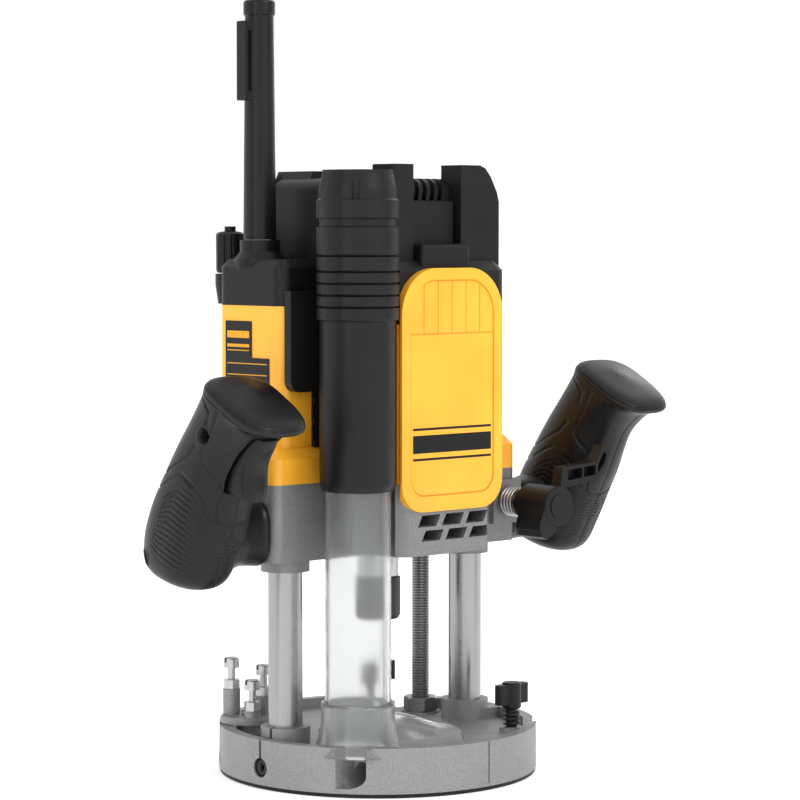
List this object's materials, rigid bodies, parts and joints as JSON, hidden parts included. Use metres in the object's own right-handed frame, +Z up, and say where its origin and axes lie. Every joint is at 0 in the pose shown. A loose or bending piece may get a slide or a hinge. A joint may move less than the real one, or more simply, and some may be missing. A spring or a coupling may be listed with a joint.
{
  "type": "plunge router",
  "caption": "Plunge router with a round base, two guide columns, a sprung motor carriage, two side handles and a through-column dust tube.",
  "frame": {"origin": "spindle axis where it meets the underside of the sole", "axes": "+Z up along the spindle, -Y towards the front panel, +X towards the plunge lock lever"},
  "size_m": [0.304, 0.17, 0.407],
  "materials": {
    "cast_aluminium": "fine bead-blasted casting, clear lacquer",
    "sole": "black phenolic sheet",
    "steel": "ground and polished steel",
    "dark_steel": "blackened steel",
    "clear_plastic": "clear polycarbonate",
    "yellow_shell": "satin yellow glass-filled nylon",
    "black_shell": "satin black glass-filled nylon",
    "soft_grip": "black grip plastic with fine texture",
    "label": "printed foil",
    "bronze": "sintered bronze",
    "copper": "enamelled copper",
    "brass": "stamped brass",
    "laminations": "varnished steel laminations",
    "carbon": "pressed carbon",
    "inner_plastic": "moulded plastic"
  },
  "bodies": {
    "base": {"base_casting": "cast_aluminium", "base_sole": "sole", "sole_screws": "dark_steel", "guide_columns": "steel", "column_clamp_screws": "dark_steel", "wing_springs": "dark_steel", "height_stop_rod": "steel", "height_stop_nuts": "steel", "dust_tube": "clear_plastic", "dust_shroud": "clear_plastic", "turret_pivot": "steel", "plunge_springs": "dark_steel"},
    "turret": {"turret_plate": "cast_aluminium", "turret_screws": "steel", "turret_nuts": "steel"},
    "wing_front": {"wing_screw_front": "black_shell"},
    "wing_rear": {"wing_screw_rear": "black_shell"},
    "carriage": {"carriage_casting": "cast_aluminium", "column_bushes": "bronze", "stop_rod_bush": "black_shell", "motor_housing": "yellow_shell", "front_panel": "yellow_shell", "rating_plate": "label", "tower_strip": "black_shell", "side_grilles": "black_shell", "tower_cap_left": "black_shell", "tower_cap_right": "black_shell", "upper_cover": "black_shell", "dust_sleeve": "black_shell", "dust_collar": "black_shell", "cord_guard": "soft_grip", "case_screws": "dark_steel", "stator": "laminations", "field_coils": "copper", "carbon_brushes": "carbon", "brush_holders": "brass", "bearing_bridge": "black_shell", "speed_module": "inner_plastic", "spindle_bearings": "steel", "handle_left_outer": "soft_grip", "handle_left_inner": "soft_grip", "handle_right_outer": "soft_grip", "handle_right_inner": "soft_grip", "trigger_switch": "inner_plastic", "plunge_lock_spring": "dark_steel"},
    "spindle": {"spindle": "steel", "cooling_fan": "black_shell", "armature": "laminations", "commutator": "copper", "collet": "steel", "collet_nut": "dark_steel"},
    "trigger": {"trigger": "black_shell"},
    "lock_on": {"lock_on_button": "black_shell"},
    "plunge_lock": {"plunge_lock_lever": "black_shell", "plunge_lock_pin": "steel"},
    "spindle_lock": {"spindle_lock_button": "black_shell"},
    "depth_rod": {"depth_rod": "steel"},
    "depth_knob": {"depth_knob": "black_shell"},
    "depth_clamp": {"depth_clamp_knob": "black_shell"},
    "speed_dial": {"speed_dial": "black_shell"}
  },
  "joints": [
    {"name": "plunge", "type": "slide", "parent": "base", "child": "carriage", "axis": [0, 0, 1], "range_m": [-0.065, 0], "stiffness_N_per_m": 400, "springref_m": 0.25, "deforming": ["plunge_springs"]},
    {"name": "turret_index", "type": "hinge", "parent": "base", "child": "turret", "pos_m": [-0.0542, 0.0425, 0.028], "axis": [0, 0, 1], "continuous": true},
    {"name": "wing_front_turn", "type": "hinge", "parent": "base", "child": "wing_front", "pos_m": [0.049, -0.0525, 0.04], "axis": [0, 0, 1], "continuous": true},
    {"name": "wing_rear_turn", "type": "hinge", "parent": "base", "child": "wing_rear", "pos_m": [0.049, 0.0525, 0.04], "axis": [0, 0, 1], "continuous": true},
    {"name": "spindle_spin", "type": "hinge", "parent": "carriage", "child": "spindle", "pos_m": [0, 0, 0.1], "axis": [0, 0, 1], "continuous": true},
    {"name": "trigger_press", "type": "slide", "parent": "carriage", "child": "trigger", "axis": [0, 0.9272, 0.3746], "range_m": [0, 0.005], "stiffness_N_per_m": 600, "springref_m": -0.003},
    {"name": "lock_on_press", "type": "slide", "parent": "carriage", "child": "lock_on", "axis": [-1, 0, 0], "range_m": [0, 0.003], "stiffness_N_per_m": 400, "springref_m": -0.002},
    {"name": "plunge_lock_turn", "type": "hinge", "parent": "carriage", "child": "plunge_lock", "pos_m": [0.077, -0.04, 0.14], "axis": [0, 1, 0], "range_deg": [0, 35], "stiffness_Nm_per_rad": 0.6, "springref_deg": -20.05},
    {"name": "spindle_lock_press", "type": "slide", "parent": "carriage", "child": "spindle_lock", "axis": [0, -1, 0], "range_m": [0, 0.003], "stiffness_N_per_m": 500, "springref_m": -0.002},
    {"name": "depth_rod_slide", "type": "slide", "parent": "carriage", "child": "depth_rod", "axis": [0, 0, -1], "range_m": [0, 0.078]},
    {"name": "depth_knob_turn", "type": "hinge", "parent": "carriage", "child": "depth_knob", "pos_m": [-0.0592, 0.05116, 0.275], "axis": [0, 0, 1], "continuous": true},
    {"name": "depth_clamp_turn", "type": "hinge", "parent": "carriage", "child": "depth_clamp", "pos_m": [-0.0592, 0.065, 0.1505], "axis": [0, 1, 0], "continuous": true},
    {"name": "speed_dial_turn", "type": "hinge", "parent": "carriage", "child": "speed_dial", "pos_m": [0.024, 0.043, 0.262], "axis": [0, 1, 0], "range_deg": [0, 300]}
  ]
}
